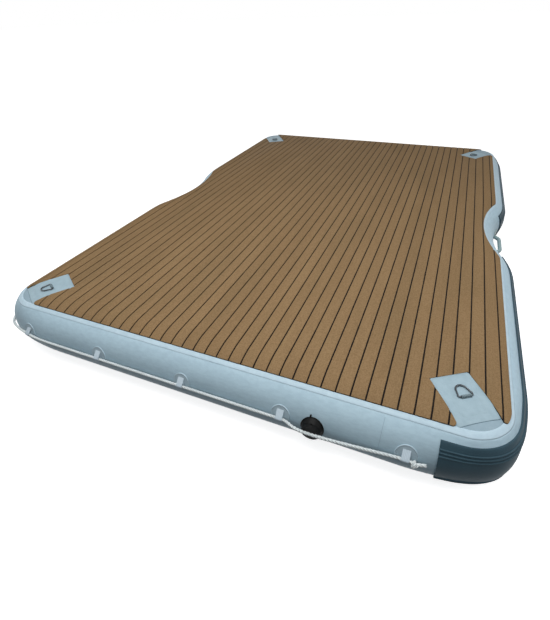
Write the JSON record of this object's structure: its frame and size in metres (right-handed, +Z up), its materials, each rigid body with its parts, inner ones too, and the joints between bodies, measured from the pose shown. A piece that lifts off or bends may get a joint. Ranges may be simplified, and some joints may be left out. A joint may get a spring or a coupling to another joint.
{
  "type": "inflatable floating dock",
  "caption": "Rectangular drop-stitch floating platform with rounded walls, shallow side notches with handles, striped deck pad, corner tow rings, rubbing strake, grab line and air valve.",
  "frame": {"origin": "centre of the flat underside, on the ground", "axes": "+Y from the valve and grab-line end to the rear, along the deck strips; +X to the side with the rubbing strake; +Z up"},
  "size_m": [2.1676, 3.1359, 0.2654],
  "materials": {
    "hull_skin": "light blue-grey PVC-coated fabric, satin",
    "seam_tape": "light blue-grey PVC tape, satin",
    "patch": "light blue-grey PVC patch with an embossed edge, satin",
    "pad_base": "dark brown foam sheet, matte",
    "pad_strips": "teak-brown brushed foam, matte",
    "webbing": "grey woven webbing, matte",
    "ring_steel": "polished stainless steel",
    "strake_rubber": "slate-grey ribbed rubber, satin",
    "handle": "grey moulded plastic, satin",
    "rope": "off-white twisted rope, matte",
    "valve_black": "black moulded plastic, satin",
    "valve_rubber": "black soft rubber",
    "valve_steel": "stainless spring wire"
  },
  "bodies": {
    "dock": {"hull": "hull_skin", "deck_pad_base": "pad_base", "deck_planks": "pad_strips", "top_seam_tape": "seam_tape", "bottom_seam_tape": "seam_tape", "corner_patch_front_right": "patch", "tow_ring_strap_front_right": "webbing", "corner_patch_front_left": "patch", "tow_ring_strap_front_left": "webbing", "corner_patch_rear_right": "patch", "tow_ring_strap_rear_right": "webbing", "corner_patch_rear_left": "patch", "tow_ring_strap_rear_left": "webbing", "carry_handle_right": "handle", "carry_handle_left": "handle", "rubbing_strake_front_right": "strake_rubber", "rubbing_strake_rear_right": "strake_rubber", "rope_guide_patch_front_1": "patch", "rope_guide_loop_front_1": "webbing", "rope_guide_patch_front_2": "patch", "rope_guide_loop_front_2": "webbing", "rope_guide_patch_front_3": "patch", "rope_guide_loop_front_3": "webbing", "rope_guide_patch_front_4": "patch", "rope_guide_loop_front_4": "webbing", "rope_guide_patch_front_5": "patch", "rope_guide_loop_front_5": "webbing", "rope_guide_patch_left_1": "patch", "rope_guide_loop_left_1": "webbing", "rope_guide_patch_left_2": "patch", "rope_guide_loop_left_2": "webbing", "rope_guide_patch_left_3": "patch", "rope_guide_loop_left_3": "webbing", "grab_line": "rope", "valve_body": "valve_black", "valve_lock_nut": "valve_black", "valve_spring": "valve_steel", "valve_cap_tether": "valve_black"},
    "tow_ring_front_right": {"tow_ring_front_right": "ring_steel"},
    "tow_ring_front_left": {"tow_ring_front_left": "ring_steel"},
    "tow_ring_rear_right": {"tow_ring_rear_right": "ring_steel"},
    "tow_ring_rear_left": {"tow_ring_rear_left": "ring_steel"},
    "valve_stem": {"valve_stem": "valve_black", "valve_seal": "valve_rubber"},
    "valve_cap": {"valve_cap": "valve_black", "valve_cap_gasket": "valve_rubber"}
  },
  "joints": [
    {"name": "tow_ring_front_right_hinge", "type": "hinge", "parent": "dock", "child": "tow_ring_front_right", "pos_m": [0.86289, -1.35442, 0.2607], "axis": [0.8387, 0.5446, 0], "range_deg": [0, 150]},
    {"name": "tow_ring_front_left_hinge", "type": "hinge", "parent": "dock", "child": "tow_ring_front_left", "pos_m": [-0.8497, -1.35524, 0.2607], "axis": [-0.8387, 0.5446, 0], "range_deg": [0, 150]},
    {"name": "tow_ring_rear_right_hinge", "type": "hinge", "parent": "dock", "child": "tow_ring_rear_right", "pos_m": [0.858, 1.247, 0.2607], "axis": [-0.8387, 0.5446, 0], "range_deg": [0, 150]},
    {"name": "tow_ring_rear_left_hinge", "type": "hinge", "parent": "dock", "child": "tow_ring_rear_left", "pos_m": [-0.858, 1.247, 0.2607], "axis": [-0.8387, -0.5446, 0], "range_deg": [0, 150]},
    {"name": "valve_cap_turn", "type": "hinge", "parent": "dock", "child": "valve_cap", "pos_m": [0.4395, -1.55, 0.139], "axis": [0, -1, 0], "range_deg": [0, 90]},
    {"name": "valve_stem_push", "type": "slide", "parent": "dock", "child": "valve_stem", "axis": [0, 1, 0], "range_m": [0, 0.006], "stiffness_N_per_m": 400, "springref_m": -0.003, "deforming": ["valve_spring"]}
  ]
}
